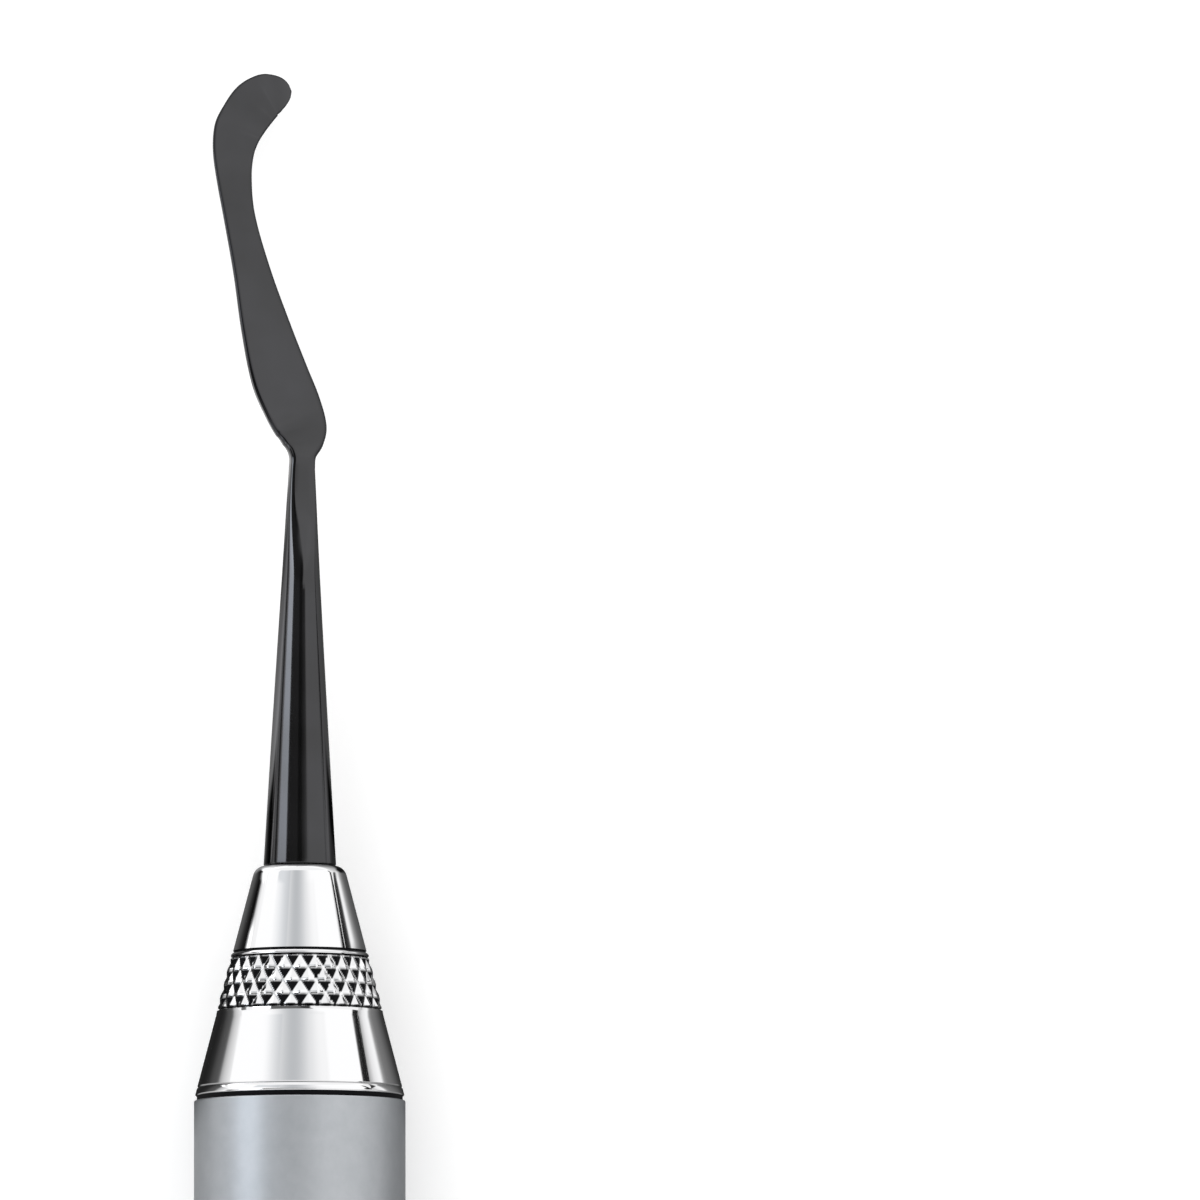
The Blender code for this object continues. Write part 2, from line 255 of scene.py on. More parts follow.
def signed_volume(mesh):
    """Positive where the faces point out."""
    mesh.calc_loop_triangles()
    points = np.zeros(len(mesh.vertices) * 3)
    mesh.vertices.foreach_get("co", points)
    corners = np.zeros(len(mesh.loop_triangles) * 3, int)
    mesh.loop_triangles.foreach_get("vertices", corners)
    a, b, c = points.reshape(-1, 3)[corners.reshape(-1, 3)].transpose(1, 0, 2)
    return np.einsum("ij,ij->i", a, np.cross(b, c)).sum()


def turned_ring(along, radius, sides):
    """Ring about the instrument's axis; radius is one number or one for each side."""
    angle = 2 * np.pi * np.arange(sides) / sides
    across = radius * np.sin(angle)
    up = radius * np.cos(angle) + AXIS_HEIGHT
    return np.stack([np.full(sides, along), across, up], axis=1)


def rounded_corner(start, corner, end, radius, steps=5):
    """Points of an arc that rounds off a corner of a turned profile."""
    start, corner, end = (np.array(p, float) for p in (start, corner, end))
    back = (start - corner) / np.linalg.norm(start - corner)
    ahead = (end - corner) / np.linalg.norm(end - corner)
    half_turn = math.acos(np.clip(back @ ahead, -1, 1)) / 2
    reach = radius / math.tan(half_turn)
    middle = corner + (back + ahead) / np.linalg.norm(back + ahead) * radius / math.sin(half_turn)
    first, last = corner + back * reach - middle, corner + ahead * reach - middle
    sweep = math.pi - 2 * half_turn
    points = []
    for step in range(steps + 1):
        t = step / steps
        along_arc = first * math.sin((1 - t) * sweep) + last * math.sin(t * sweep)
        points.append(tuple(middle + along_arc / math.sin(sweep)))
    return points


def grip():
    """Hollow tube with softly rounded ends."""
    half, inner = GRIP_HALF_LENGTH, GRIP_RADIUS - GRIP_WALL
    section = [(-half, inner), (half, inner)]
    section += rounded_corner((half, inner), (half, GRIP_RADIUS), (0, GRIP_RADIUS), GRIP_END_ROUND)
    section += rounded_corner(
        (0, GRIP_RADIUS), (-half, GRIP_RADIUS), (-half, inner), GRIP_END_ROUND
    )
    rings = [turned_ring(along, radius, GRIP_SIDES) for along, radius in section]
    return skin("satin_grip", rings, closed=True)


def cone_radius(depth):
    """Radius of the plain cone at a depth behind the nose face."""
    return CONE_NOSE_RADIUS + (CONE_WIDE_RADIUS - CONE_NOSE_RADIUS) * depth / CONE_LENGTH


def knurl(turn, depth):
    """Height of the diamonds, 0 to 1, and their painted shade, at a share of a turn and a depth into
    the band. The painted shade covers most of each face that looks away from the nose.
    """
    around = turn * DIAMONDS_AROUND
    rows = depth / KNURL_LENGTH * (DIAMOND_ROWS + 1) / 2
    one, other = (around + rows) % 1.0, (around - rows) % 1.0
    peak = np.minimum(1 - np.abs(2 * one - 1), 1 - np.abs(2 * other - 1))
    height = np.minimum(peak / KNURL_FLAT_TOP, 1.0)
    lower = np.clip((one - other) * KNURL_SHADE_SHARPNESS - KNURL_SHADE_LAG, 0, 1)
    return height, lower * np.clip((KNURL_SHADE_TOP - height) * KNURL_SHADE_SHARPNESS, 0, 1)


def cone(name, end):
    """Turned cone with bore, bead, diamond knurl, rim line and spigot."""
    nose_line = (CONE_NOSE_ROUND * 2, cone_radius(CONE_NOSE_ROUND * 2))
    profile = [(CONE_BORE_DEPTH, CONE_BORE_RADIUS), (0.0, CONE_BORE_RADIUS)]
    profile += rounded_corner(
        (0, CONE_BORE_RADIUS), (0, CONE_NOSE_RADIUS), nose_line, CONE_NOSE_ROUND,
        NOSE_ROUND_STEPS,
    )
    bead_start = KNURL_START - BEAD_WIDTH
    line_start = bead_start - BEAD_LINE_WIDTH
    line_floor = (line_start + GROOVE_SLOPE, bead_start - GROOVE_SLOPE)
    for step in range(NOSE_SIDE_STEPS + 1):
        depth = NOSE_SIDE_START + (line_start - NOSE_SIDE_START) * step / NOSE_SIDE_STEPS
        profile.append((depth, cone_radius(depth)))
    for depth in line_floor:
        profile.append((depth, cone_radius(depth) - BEAD_LINE_CUT))
    profile.append((bead_start, cone_radius(bead_start)))
    for step in range(1, BEAD_STEPS):
        t = step / BEAD_STEPS
        depth = bead_start + BEAD_WIDTH * t
        profile.append((depth, cone_radius(depth) + BEAD_RISE * math.sin(math.pi * t)))
    rings = [turned_ring(end * (NOSE_DISTANCE - d), r, CONE_SIDES) for d, r in profile]
    # Painted shade: the bead line's floor is painted fully dark
    recess = [np.full(CONE_SIDES, float(depth in line_floor)) for depth, _ in profile]

    turn = np.arange(CONE_SIDES) / CONE_SIDES
    knurl_rings = STEPS_PER_DIAMOND * (DIAMOND_ROWS + 1) // 2
    for ring in range(knurl_rings + 1):
        depth = KNURL_LENGTH * ring / knurl_rings
        height, knurl_shade = knurl(turn, depth)
        height = height * (KNURL_RISE + KNURL_DEPTH) - KNURL_DEPTH
        # The band's end rings sit at the floor and are painted fully dark as shade
        if ring in (0, knurl_rings):
            height = np.full(CONE_SIDES, -KNURL_DEPTH)
            knurl_shade = np.ones(CONE_SIDES)
        place = KNURL_START + depth
        rings.append(turned_ring(
            end * (NOSE_DISTANCE - place), cone_radius(place) + height, CONE_SIDES
        ))
        recess.append(knurl_shade)

    knurl_end = KNURL_START + KNURL_LENGTH
    lip = knurl_end + KNURL_DEPTH * LIP_START
    profile = [
        (lip, cone_radius(lip) + LIP_RISE),
        (lip + LIP_WIDTH, cone_radius(lip + LIP_WIDTH) + LIP_RISE / 2),
    ]
    for step in range(WIDE_SIDE_STEPS + 1):
        even = (RIM_LINE_DEPTH - lip - WIDE_SIDE_SPARE) * step / WIDE_SIDE_STEPS
        depth = lip + 2 * LIP_WIDTH + even
        profile.append((depth, cone_radius(depth)))
    middle, stop = RIM_LINE_DEPTH + RIM_LINE_WIDTH / 2, RIM_LINE_DEPTH + RIM_LINE_WIDTH
    rim = CONE_LENGTH + RIM_REACH
    rim_side = RIM_LINE_DEPTH + BEHIND_RIM_LINE
    profile += [
        (RIM_LINE_DEPTH, cone_radius(RIM_LINE_DEPTH)),
        (middle, cone_radius(middle) - RIM_LINE_CUT),
        (stop, cone_radius(stop)),
    ]
    profile += rounded_corner(
        (rim_side, cone_radius(rim_side)),
        (rim, cone_radius(rim)), (rim, SPIGOT_RADIUS), RIM_ROUND,
    )
    profile += [
        (rim, CONE_WIDE_RADIUS - SEAT_STEP),
        (CONE_LENGTH + SEAT_LENGTH, CONE_WIDE_RADIUS - SEAT_STEP),
        (CONE_LENGTH + SEAT_LENGTH, SPIGOT_RADIUS),
        (CONE_LENGTH + SPIGOT_LENGTH - SPIGOT_CHAMFER, SPIGOT_RADIUS),
        (CONE_LENGTH + SPIGOT_LENGTH, SPIGOT_RADIUS - SPIGOT_CHAMFER),
    ]
    for depth, radius in profile:
        rings.append(turned_ring(end * (NOSE_DISTANCE - depth), radius, CONE_SIDES))
        # Painted shade: part of it in the rim line's floor, full from the rim over the seat and
        # spigot in the groove
        dull = RIM_LINE_SHADE if depth == middle else float(depth >= rim)
        recess.append(np.full(CONE_SIDES, dull))
    return skin(name, rings, recess=recess)


def through(rows, steps):
    """Smooth rows of numbers through the given rows, spaced by the distance between them."""
    rows = np.array(rows, float)
    gaps = np.linalg.norm(np.diff(rows[:, :3], axis=0), axis=1)
    knots = np.concatenate([[0.0], np.cumsum(gaps)])
    slopes = np.empty_like(rows)
    slopes[1:-1] = (rows[2:] - rows[:-2]) / (knots[2:] - knots[:-2])[:, None]
    slopes[0] = (rows[1] - rows[0]) / gaps[0]
    slopes[-1] = (rows[-1] - rows[-2]) / gaps[-1]
    places = np.linspace(0, knots[-1], steps + 1)
    i = np.clip(np.searchsorted(knots, places, side="right") - 1, 0, len(gaps) - 1)
    span = gaps[i][:, None]
    t = (places - knots[i])[:, None] / span
    return (
        (2 * t**3 - 3 * t**2 + 1) * rows[i] + (t**3 - 2 * t**2 + t) * span * slopes[i]
        + (3 * t**2 - 2 * t**3) * rows[i + 1] + (t**3 - t**2) * span * slopes[i + 1]
    )


def section(centre, ahead, half_width, half_thickness, roll, edge_power=1.0):
    """Ring across a working end: two rounded edges joined by flats, turned by roll."""
    run = np.array(ahead, float)
    run /= np.linalg.norm(run)
    level = np.cross((0.0, 0.0, 1.0), run)
    level /= np.linalg.norm(level)
    upright = np.cross(run, level)
    width = level * math.cos(roll) + upright * math.sin(roll)
    face = upright * math.cos(roll) - level * math.sin(roll)
    flat = max(half_width - half_thickness, 0.0)
    inset = max(flat - FLAT_INSET, 0.0)
    angle = np.linspace(-np.pi / 2, np.pi / 2, EDGE_STEPS)
    across = half_thickness * np.abs(np.cos(angle)) ** edge_power + flat
    above = half_thickness * np.sign(np.sin(angle)) * np.abs(np.sin(angle)) ** edge_power
    across = np.concatenate([[inset], across, [inset], [-inset], -across, [-inset]])
    above = np.concatenate([above[:1], above, above[-1:], above[-1:], -above, above[:1]])
    return np.asarray(centre) + np.outer(across, width) + np.outer(above, face)


def shank_radius(along):
    """Radius of the round shank at a distance from the nose face."""
    return (SHANK_DIAMETER + (NECK_DIAMETER - SHANK_DIAMETER) * along / SHANK_LENGTH) / 2


def flattening(along):
    """0 where the shank is round, rising to 1 where it is pressed flat at the blade root."""
    return smoothstep((along - SHANK_LENGTH + FLATTENED_LENGTH) / FLATTENED_LENGTH)


def half_thickness(along):
    """Half the thickness at a distance from the nose face: round, then pressed flat."""
    if along <= SHANK_LENGTH:
        t = flattening(along)
        return shank_radius(along) * (1 - t) + NECK_THICKNESS / 2 * t
    t = smoothstep((along - SHANK_LENGTH) / BLADE_BODY_START)
    return (NECK_THICKNESS * (1 - t) + BLADE_BODY_THICKNESS * t) / 2


def working_end(name, end, neck_side, neck_roll, stations, end_round):
    """Tang, tapered shank and blade in one piece along the spine of its stations.

    Its edge attribute, painted shade, rises to 1 on the blade's narrow edges.
    """
    neck = (0.0, neck_side, 0.0, NECK_DIAMETER / 2, neck_roll)
    blade = [(SHANK_LENGTH + along, *rest) for along, *rest in (neck, *stations)]
    start = SEAT_GAP + SHANK_ROOT_ROUND
    shank = []
    for step in range(SHANK_STATIONS):
        t = step / SHANK_STATIONS
        along = start + (SHANK_LENGTH - start) * t
        shank.append((along, neck_side * t**2, 0.0, shank_radius(along), neck_roll))
    spine = np.concatenate([shank, through(blade, BLADE_STATIONS)])

    rings = []
    roll = math.radians(neck_roll)
    root = [(-TANG_LENGTH, TANG_RADIUS), (SEAT_GAP, TANG_RADIUS)]
    root += rounded_corner(
        (SEAT_GAP, TANG_RADIUS), (SEAT_GAP, SHANK_DIAMETER / 2),
        (SHANK_SIDE_POINT, shank_radius(SHANK_SIDE_POINT)), SHANK_ROOT_ROUND,
    )[:-1]
    for along, radius in root:
        rings.append(section((along, 0.0, 0.0), (1.0, 0.0, 0.0), radius, radius, roll))
    painted_edge_shade = [np.zeros(4 + 2 * EDGE_STEPS) for _ in rings]
    # Painted shade on the blade's narrow edges, rising in from the blade root
    lean = np.abs(np.linspace(-1, 1, EDGE_STEPS))
    narrow = np.clip((1 - lean) * EDGE_SHARPNESS, 0, 1)
    narrow = np.concatenate([[0], narrow, [0, 0], narrow, [0]])
    distances = np.concatenate([[0.0], np.cumsum(
        np.linalg.norm(np.diff(spine[:, :3], axis=0), axis=1)
    )])
    length = math.dist(blade[-1][:3], blade[0][:3])
    for i, (along, side, rise, half_width, turn) in enumerate(spine):
        ahead = spine[min(i + 1, len(spine) - 1), :3] - spine[max(i - 1, 0), :3]
        thick = half_thickness(along)
        beyond = max(along - SHANK_LENGTH - BLADE_BODY_START, 0.0)
        thinning = min(beyond / (length - BLADE_BODY_START), 1.0)
        thick += (BLADE_TIP_THICKNESS - BLADE_BODY_THICKNESS) / 2 * thinning
        to_end = distances[-1] - distances[i]
        if to_end < end_round:
            fullness = math.sqrt(max(1 - (1 - to_end / end_round) ** 2, LEAST_FULLNESS))
            half_width *= fullness
            thick *= math.sqrt(fullness)
        edge_power = 1 + (BLADE_EDGE_POWER - 1) * flattening(along)
        rings.append(section(
            (along, side, rise), ahead, half_width, thick, math.radians(turn), edge_power
        ))
        painted_edge_shade.append(narrow * smoothstep((along - SHANK_LENGTH) / BLADE_BODY_START))
    rings = np.array(rings)
    rings[:, :, 0] = end * (NOSE_DISTANCE + rings[:, :, 0])
    rings[:, :, 2] += AXIS_HEIGHT
    return skin(name, rings, edge=painted_edge_shade)


# Finishes


def add(material, kind, inputs=(), **settings):
    """A node of that kind with its settings; inputs maps socket to value or to another's output."""
    tree = material.node_tree
    node = tree.nodes.new(kind)
    for key, value in settings.items():
        setattr(node, key, value)
    for socket, value in dict(inputs).items():
        if isinstance(value, bpy.types.NodeSocket):
            tree.links.new(value, node.inputs[socket])
        else:
            node.inputs[socket].default_value = value
    return node


def blank(name):
    """Material with an empty node tree and a Principled surface."""
    material = bpy.data.materials.new(name)
    material.use_nodes = True
    material.node_tree.nodes.clear()
    shader = add(material, "ShaderNodeBsdfPrincipled")
    add(material, "ShaderNodeOutputMaterial", {"Surface": shader.outputs["BSDF"]})
    return material, shader


def bead_blasted_stainless():
    """Stainless steel, fine bead blasted: pale satin grey, softly clouded, with no sharp images."""
    material, shader = blank("bead_blasted_stainless")
    place = add(material, "ShaderNodeTexCoord").outputs["Object"]
    cloud = add(
        material, "ShaderNodeTexNoise",
        {"Vector": place, "Scale": 1 / (CLOUD_SIZE * MM), "Detail": 5.0, "Roughness": 0.65},
    )
    grain = add(
        material, "ShaderNodeTexNoise",
        {"Vector": place, "Scale": 1 / (GRAIN_SIZE * MM), "Detail": 2.0},
    )
    colour = add(material, "ShaderNodeValToRGB", {"Fac": cloud.outputs["Fac"]})
    colour.color_ramp.elements[0].position = 0.3
    colour.color_ramp.elements[0].color = linear("#C4C8CC")
    colour.color_ramp.elements[1].position = 0.72
    colour.color_ramp.elements[1].color = linear("#CDD0D4")
    rough = add(
        material, "ShaderNodeMapRange",
        {"Value": cloud.outputs["Fac"], "From Min": 0.3, "From Max": 0.7,
         "To Min": 0.42, "To Max": 0.44},
    )
    bump = add(
        material, "ShaderNodeBump",
        {"Height": grain.outputs["Fac"], "Strength": 0.35, "Distance": GRAIN_HEIGHT * MM},
    )
    material.node_tree.links.new(colour.outputs["Color"], shader.inputs["Base Color"])
    material.node_tree.links.new(rough.outputs["Result"], shader.inputs["Roughness"])
    material.node_tree.links.new(bump.outputs["Normal"], shader.inputs["Normal"])
    shader.inputs["Metallic"].default_value = 1.0
    return material


def polished_stainless():
    """Stainless steel, turned and mirror polished: clear images, faintly softened by the buff.

    An attribute of painted shade darkens these places and makes them dull: the knurl's faces that
    look away from the nose, the lines cut round the cone and the seat's groove.
    """
    material, shader = blank("polished_stainless")
    place = add(material, "ShaderNodeTexCoord").outputs["Object"]
    # The painted shade attribute
    depth = add(material, "ShaderNodeAttribute", attribute_name="recess").outputs["Fac"]
    buff = add(
        material, "ShaderNodeTexNoise",
        {"Vector": place, "Scale": 1 / (BUFF_SIZE * MM), "Detail": 4.0},
    )
    rough = add(
        material, "ShaderNodeMapRange",
        {"Value": buff.outputs["Fac"], "From Min": 0.3, "From Max": 0.7,
         "To Min": 0.04, "To Max": 0.07},
    )
    dull = add(
        material, "ShaderNodeMapRange",
        {"Value": depth, "To Min": rough.outputs["Result"], "To Max": 0.5},
    )
    # Painted shade: from the steel's own pale grey to near black as the painted shade rises
    colour = add(material, "ShaderNodeValToRGB", {"Fac": depth})
    colour.color_ramp.elements[0].color = linear("#F4F4F5")
    colour.color_ramp.elements[1].position = 0.8
    colour.color_ramp.elements[1].color = linear("#1C1C1E")
    material.node_tree.links.new(colour.outputs["Color"], shader.inputs["Base Color"])
    material.node_tree.links.new(dull.outputs["Result"], shader.inputs["Roughness"])
    shader.inputs["Metallic"].default_value = 1.0
    return material


def black_coated_steel():
    """Hard black carbon coating on polished steel: dark grey sheen with a slightly blurred image.

    Its colour is painted darker on the blades' narrow edges as painted shade.
    """
    material, shader = blank("black_coated_steel")
    place = add(material, "ShaderNodeTexCoord").outputs["Object"]
    film = add(
        material, "ShaderNodeTexNoise",
        {"Vector": place, "Scale": 1 / (FILM_SIZE * MM), "Detail": 3.0},
    )
    colour = add(material, "ShaderNodeValToRGB", {"Fac": film.outputs["Fac"]})
    colour.color_ramp.elements[0].position = 0.35
    colour.color_ramp.elements[0].color = linear("#4B4B4C")
    colour.color_ramp.elements[1].position = 0.7
    colour.color_ramp.elements[1].color = linear("#505052")
    # Painted shade on the blades' narrow edges, from the edge attribute, mixed towards #363638
    edge = add(material, "ShaderNodeAttribute", attribute_name="edge").outputs["Fac"]
    coat = add(
        material, "ShaderNodeMix",
        {"Factor": edge, 6: colour.outputs["Color"], 7: linear("#363638")}, data_type="RGBA",
    )
    rough = add(
        material, "ShaderNodeMapRange",
        {"Value": film.outputs["Fac"], "From Min": 0.3, "From Max": 0.7,
         "To Min": 0.09, "To Max": 0.12},
    )
    material.node_tree.links.new(coat.outputs[2], shader.inputs["Base Color"])
    material.node_tree.links.new(rough.outputs["Result"], shader.inputs["Roughness"])
    shader.inputs["Metallic"].default_value = 1.0
    return material


# Stage


def white_floor():
    """Pale matt floor, wide enough to fill every view, and white where nothing shades it."""
    bpy.ops.mesh.primitive_plane_add(size=FLOOR_SIZE, location=(0, 0, 0))
    floor = bpy.context.object
    floor.name = "floor"
    material = bpy.data.materials.new("white_paper")
    material.use_nodes = True
    material.node_tree.nodes.clear()
    paper = add(material, "ShaderNodeBsdfDiffuse", {"Color": linear("#F6F6F6")})
    ray = add(material, "ShaderNodeLightPath")
    seen = ray.outputs["Is Camera Ray"]
    for kind in ("Is Glossy Ray", "Is Transmission Ray"):
        seen = add(
            material, "ShaderNodeMath", {0: seen, 1: ray.outputs[kind]}, operation="MAXIMUM"
        ).outputs["Value"]
    lift = add(material, "ShaderNodeMath", {0: seen, 1: PAPER_LIFT}, operation="MULTIPLY")
    glow = add(material, "ShaderNodeEmission", {"Strength": lift.outputs["Value"]})
    both = add(material, "ShaderNodeAddShader", {0: paper.outputs["BSDF"], 1: glow.outputs[0]})
    add(material, "ShaderNodeOutputMaterial", {"Surface": both.outputs["Shader"]})
    floor.data.materials.append(material)


# Panels of the light tent, seen only in reflections: what they are for, reach along X in metres
# either way from the middle, lean in degrees (positive to -Y) at the near and at the far end of
# that reach, softness of the edges along the lean, colour and brightness. Later ones lie over
# earlier ones.
TENT_RADIUS = 0.5
TENT_HALF_LENGTH = 0.9
TENT_LEAN = 94.0  # degrees to either side, just past the floor
TENT_FINE_REACH = 0.3  # metres from the middle that have the fine grid
TENT_FINE_STEP = 0.005
TENT_COARSE_STEP = 0.03
TENT_PANELS = (
    ("white sides of the cones", 0.22, 0.60, (-95, 95), (-95, 95), 2, "#FFFFFF", 1.1),
    ("shade of the paddle's end", 0.300, 0.36, (14, 36), (14, 36), 6, "#FFFFFF", 0.99),
    ("pale left of the upper cones", 0.355, 0.55, (-58, -25), (-58, -25), 3, "#F6F9FC", 0.84),
    ("pale middle of the cones", 0.24, 0.62, (-29, 12), (-29, 12), 40, "#F6F9FC", 0.59),
    ("shade right of the shanks", 0.115, 0.17, (0, 20), (0, 20), 14, "#FFFFFF", 0.7),
    ("dark middle of the shanks", 0.115, 0.17, (-45, 7), (-45, 9), 2, "#FFFFFF", 0.13),
    ("dark bend of the necks", 0.17, 0.25, (-45, 9), (-42, 19), 2, "#FFFFFF", 0.13),
    ("black core of the shanks", 0.115, 0.17, (-9, 7), (-7, 9), 3, "#FFFFFF", 0.05),
    ("black core of the necks", 0.17, 0.25, (-7, 9), (8, 19), 3, "#FFFFFF", 0.05),
    ("light strip of the shanks", 0.12, 0.152, (-78, -46), (-74, -45), 2, "#E6ECF3", 3.4),
    ("light strip of the tapers", 0.152, 0.172, (-74, -45), (-71, -43), 2, "#E6ECF3", 4.4),
    ("light strip of the necks", 0.172, 0.215, (-71, -43), (-66, -42), 2, "#E6ECF3", 5.8),
    ("dark line beside the strip", 0.115, 0.205, (-93, -81), (-93, -81), 2, "#FFFFFF", 0.15),
    ("dark line of the lower cones", 0.205, 0.288, (80, 97), (80, 97), 2, "#FFFFFF", 0.02),
    ("dark line of the upper cones", 0.27, 0.45, (85, 97), (85, 97), 2, "#FFFFFF", 0.01),
    ("light over the grip", 0.0, 0.10, (-97, 97), (-97, 97), 4, "#FFFFFF", 0.68),
    ("dull left of the grip", 0.0, 0.115, (-88, -40), (-88, -40), 16, "#FFFFFF", 0.05),
    ("light middle of the grip", 0.0, 0.11, (-26, 10), (-26, 10), 24, "#FFFFFF", 0.95),
    ("right side of the grip", 0.0, 0.10, (35, 75), (35, 75), 20, "#FFFFFF", 0.56),
    ("dull edge of the grip", 0.0, 0.10, (75, 97), (75, 97), 14, "#FFFFFF", 0.38),
)
PANEL_EDGE_REACH = 0.012

# Graded cards just over the floor, seen only in reflections. Beside the cones and the working ends
# their lines run out at the slant at which the cones throw the rays, and the slant fades to none
# at the grip's middle. Each row gives a place along X in millimetres, where its line leaves the
# axis, and its brightness at the distances from the axis, which are in millimetres too.
CARD_SLANT = 0.43
CARD_HEIGHT = 0.2
CARD_LINES = 90
CARD_FIRST_LINE = 0.045  # root of the first line's share of the farthest distance
CARD_STEP = 0.5  # along X
CARD_DISTANCES = (1, 4, 7, 9, 12, 14, 16, 19, 23, 28, 35, 45, 70, 110, 200, 500)
PLAIN = (1,) * len(CARD_DISTANCES)
LEFT_OF_GRIP = (
    0.35, 0.4, 0.4, 0.4, 0.42, 0.45, 0.48, 0.5, 0.55, 0.6, 0.65, 0.75, 0.9, 1, 1, 1
)
RIGHT_OF_GRIP = (
    0.2, 0.22, 0.24, 0.24, 0.25, 0.26, 0.28, 0.3, 0.35, 0.4, 0.45, 0.5, 0.6, 0.7, 0.7, 0.7
)
LEFT_OF_LOWER_CONE = (
    0.02, 0.02, 0.02, 0.015, 0.03, 0.06, 0.08, 0.09, 0.12, 0.42, 0.58, 0.68, 0.78, 0.85, 0.9, 1
)
LEFT_BETWEEN_CONES = (
    0.15, 0.12, 0.08, 0.03, 0.01, 0.01, 0.01, 0.8, 2, 1.8, 0.9, 1, 1, 1, 1, 1
)
LEFT_OF_UPPER_CONE = (
    0.15, 0.12, 0.08, 0.03, 0.01, 0.003, 0.003, 0.1, 0.6, 0.8, 0.9, 1, 1, 1, 1, 1
)
LEFT_OF_NOSE = (
    0.15, 0.3, 0.05, 0.003, 0.01, 0.2, 0.7, 1.2, 1.5, 1.5, 1.3, 1, 1, 1, 1, 1
)
LEFT_OF_SHANK = (
    0.15, 0.4, 1, 1.5, 1.9, 2, 2.1, 2.2, 2.2, 2.2, 2, 1.8, 1.5, 1.2, 1, 1
)
LEFT_OF_NECK = (
    0.15, 0.4, 0.7, 0.9, 1, 1.05, 1.1, 1.2, 1.2, 1.2, 1.2, 1.2, 1.1, 1, 1, 1
)
LEFT_OF_BEND = (
    0.1, 0.2, 0.35, 0.5, 0.6, 0.7, 0.8, 1, 1.1, 1.1, 1.1, 1.1, 1.1, 1, 1, 1
)
LEFT_OF_BLADE_ROOT = (
    0.6, 1.3, 1.8, 2, 2.1, 2.2, 2.2, 2.2, 2.2, 2.2, 2, 1.8, 1.5, 1.2, 1, 1
)
RIGHT_OF_LOWER_CONE = (
    0.03, 0.03, 0.04, 0.1, 0.17, 0.19, 0.21, 0.35, 1, 1, 0.93, 0.87, 0.68, 0.54, 0.45, 0.3
)
RIGHT_OF_UPPER_CONE = (
    0.06, 0.08, 0.11, 0.17, 0.36, 0.6, 0.9, 1, 0.95, 0.16, 0.05, 0.03, 0.02, 0.02, 0.02, 0.02
)
RIGHT_OF_NOSE = (
    0.05, 0.01, 0.004, 0.02, 0.5, 0.7, 0.8, 0.8, 0.5, 0.15, 0.05, 0.05, 0.04, 0.03, 0.02, 0.02
)
RIGHT_OF_SHANK = (
    0.1, 0.2, 0.35, 0.5, 0.6, 0.6, 0.65, 0.7, 0.75, 0.8, 0.85, 0.9, 0.9, 1, 1, 1
)
BESIDE_BLADE = (
    0.12, 0.3, 0.8, 1, 1, 1, 1, 1, 1, 1, 1, 1, 1, 1, 1, 1
)
LEFT_CARDS = (
    (0.0, LEFT_OF_GRIP), (32.0, LEFT_OF_GRIP), (33.0, LEFT_OF_LOWER_CONE),
    (40.0, LEFT_OF_LOWER_CONE), (41.0, LEFT_BETWEEN_CONES), (42.5, LEFT_BETWEEN_CONES),
    (43.2, LEFT_OF_UPPER_CONE), (45.6, LEFT_OF_UPPER_CONE), (46.4, LEFT_OF_NOSE),
    (48.3, LEFT_OF_NOSE), (49.2, LEFT_OF_SHANK), (50.0, LEFT_OF_SHANK),
    (56.0, LEFT_OF_NECK), (58.0, LEFT_OF_NECK), (59.3, LEFT_OF_BEND), (61.0, LEFT_OF_BEND),
    (62.2, LEFT_OF_SHANK), (64.2, LEFT_OF_SHANK),
    (65.2, LEFT_OF_BLADE_ROOT), (66.8, LEFT_OF_BLADE_ROOT),
    (68.0, BESIDE_BLADE), (90.0, BESIDE_BLADE), (93.0, PLAIN),
)
RIGHT_CARDS = (
    (0.0, RIGHT_OF_GRIP), (32.0, RIGHT_OF_GRIP), (33.0, RIGHT_OF_LOWER_CONE),
    (41.0, RIGHT_OF_LOWER_CONE), (42.0, RIGHT_OF_UPPER_CONE), (46.0, RIGHT_OF_UPPER_CONE),
    (46.8, RIGHT_OF_NOSE), (49.0, RIGHT_OF_NOSE), (50.5, RIGHT_OF_SHANK),
    (64.0, RIGHT_OF_SHANK), (66.0, BESIDE_BLADE), (90.0, BESIDE_BLADE), (93.0, PLAIN),
)


def inside(value, low, high, softness):
    """1 between low and high, falling to 0 over the softness centred on each."""
    rise = np.clip((value - low) / softness + 0.5, 0, 1)
    fall = np.clip((high - value) / softness + 0.5, 0, 1)
    return rise * rise * (3 - 2 * rise) * fall * fall * (3 - 2 * fall)


def glowing_sheet(name, points, colours):
    """Stage sheet through a grid of points in metres, glowing with the grid's colours."""
    across = points.shape[1]
    faces = []
    for j in range(points.shape[0] - 1):
        for i in range(across - 1):
            a = j * across + i
            faces.append((a, a + 1, a + 1 + across, a + across))
    mesh = bpy.data.meshes.new(name)
    mesh.from_pydata(points.reshape(-1, 3).tolist(), [], faces)
    layer = mesh.attributes.new("glow", "FLOAT_COLOR", "POINT")
    layer.data.foreach_set("color", np.ravel(colours))
    sheet = bpy.data.objects.new(name, mesh)
    bpy.context.scene.collection.objects.link(sheet)
    material = bpy.data.materials.new(name)
    material.use_nodes = True
    material.node_tree.nodes.clear()
    painted = add(material, "ShaderNodeAttribute", attribute_name="glow")
    glow = add(material, "ShaderNodeEmission", {"Color": painted.outputs["Color"]})
    add(material, "ShaderNodeOutputMaterial", {"Surface": glow.outputs["Emission"]})
    material.cycles.emission_sampling = "NONE"
    mesh.materials.append(material)
    sheet.visible_camera = False
    sheet.visible_diffuse = False
    sheet.visible_shadow = False
    sheet.visible_transmission = False


